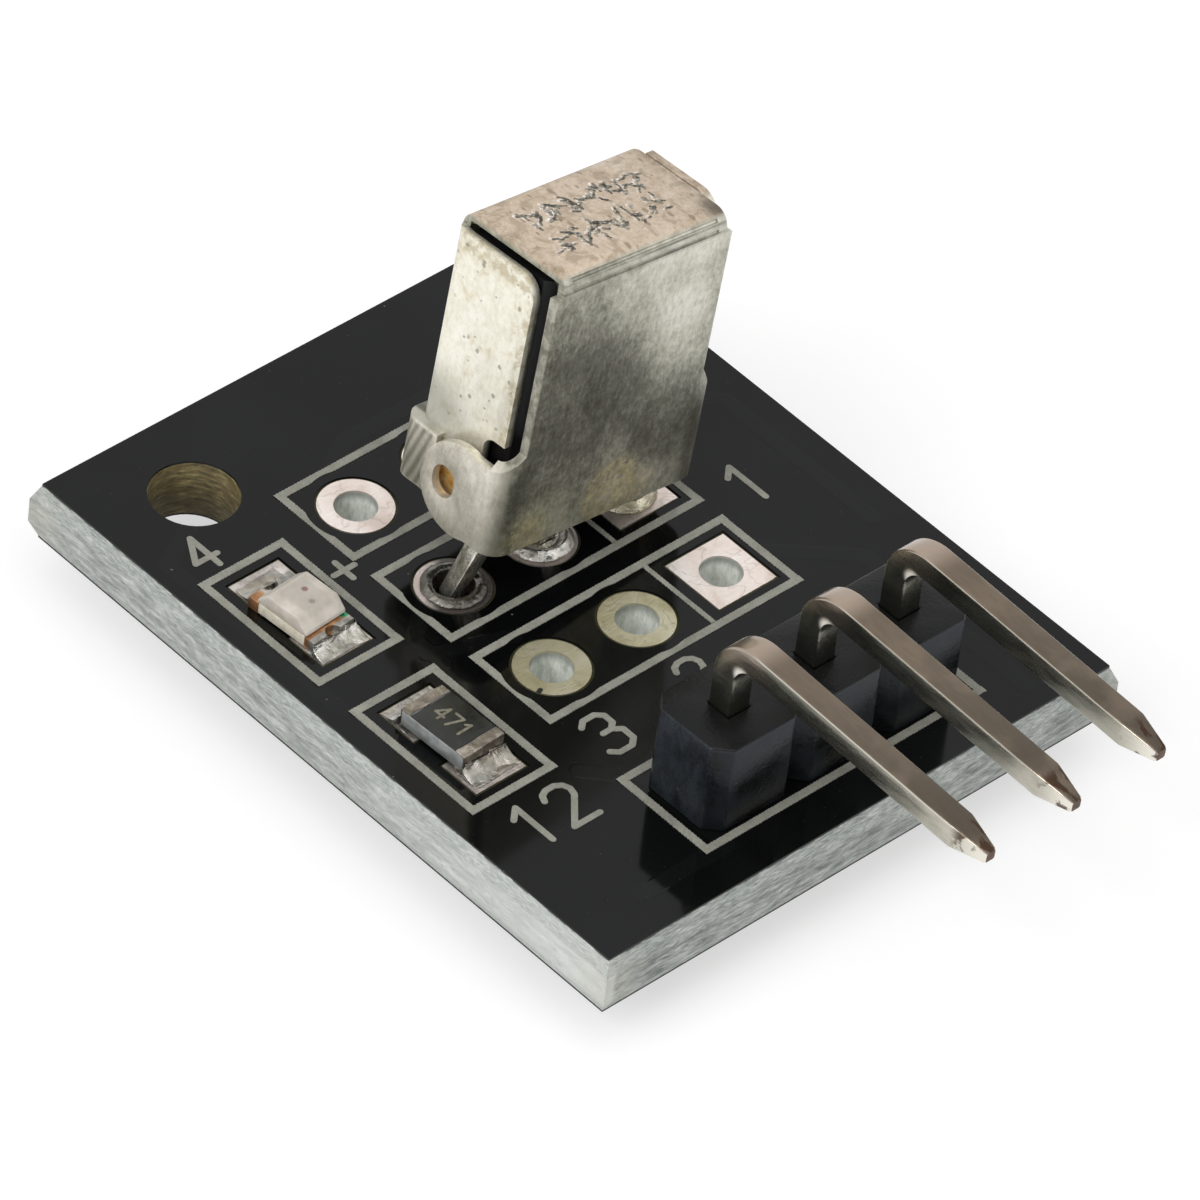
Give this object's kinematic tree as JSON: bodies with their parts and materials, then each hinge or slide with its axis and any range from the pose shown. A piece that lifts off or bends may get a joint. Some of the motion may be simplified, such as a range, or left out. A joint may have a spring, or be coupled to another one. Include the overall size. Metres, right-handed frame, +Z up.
{
  "type": "infrared receiver module",
  "caption": "Small black circuit board with a metal-shielded infrared receiver on legs, a right-angle pin header, a chip light and a chip resistor.",
  "frame": {"origin": "middle of the circuit board's underside", "axes": "+Z up out of the component side, -Y the way the header pins point, +X towards the square pads"},
  "size_m": [0.0154, 0.024, 0.0117],
  "materials": {
    "fibre_core": "rough snapped edges",
    "black_mask": "glossy",
    "grey_ink": "matt",
    "plated_pads": "tinned, slightly tarnished",
    "header_plastic": "satin",
    "pin_metal": "tinned, drawn",
    "solder": "bright",
    "tinned_sheet": "mottled tin",
    "receiver_epoxy": "smooth",
    "leg_metal": "tinned",
    "led_base_board": "matt",
    "led_epoxy": "milky, translucent",
    "led_metal": "bare copper",
    "resistor_ceramic": "matt",
    "resistor_glass": "satin",
    "cap_metal": "tinned"
  },
  "bodies": {
    "root": {"circuit_board": "fibre_core", "solder_mask_top": "black_mask", "solder_mask_bottom": "black_mask", "printed_frames": "grey_ink", "spare_holes_far": "plated_pads", "receiver_holes": "plated_pads", "spare_holes_near": "plated_pads", "header_holes": "plated_pads", "led_pads": "plated_pads", "resistor_pads": "plated_pads", "header_housing": "header_plastic", "header_pin_1": "pin_metal", "header_pin_2": "pin_metal", "header_pin_3": "pin_metal", "header_solder": "solder", "receiver_shield": "tinned_sheet", "receiver_body": "receiver_epoxy", "receiver_leg_1": "leg_metal", "receiver_leg_2": "leg_metal", "receiver_leg_3": "leg_metal", "receiver_solder_1": "solder", "receiver_solder_2": "solder", "receiver_solder_3": "solder", "led_base": "led_base_board", "led_lens": "led_epoxy", "led_terminals": "led_metal", "led_solder": "solder", "resistor_body": "resistor_ceramic", "resistor_coat": "resistor_glass", "resistor_caps": "cap_metal", "resistor_solder": "solder"}
  },
  "joints": []
}
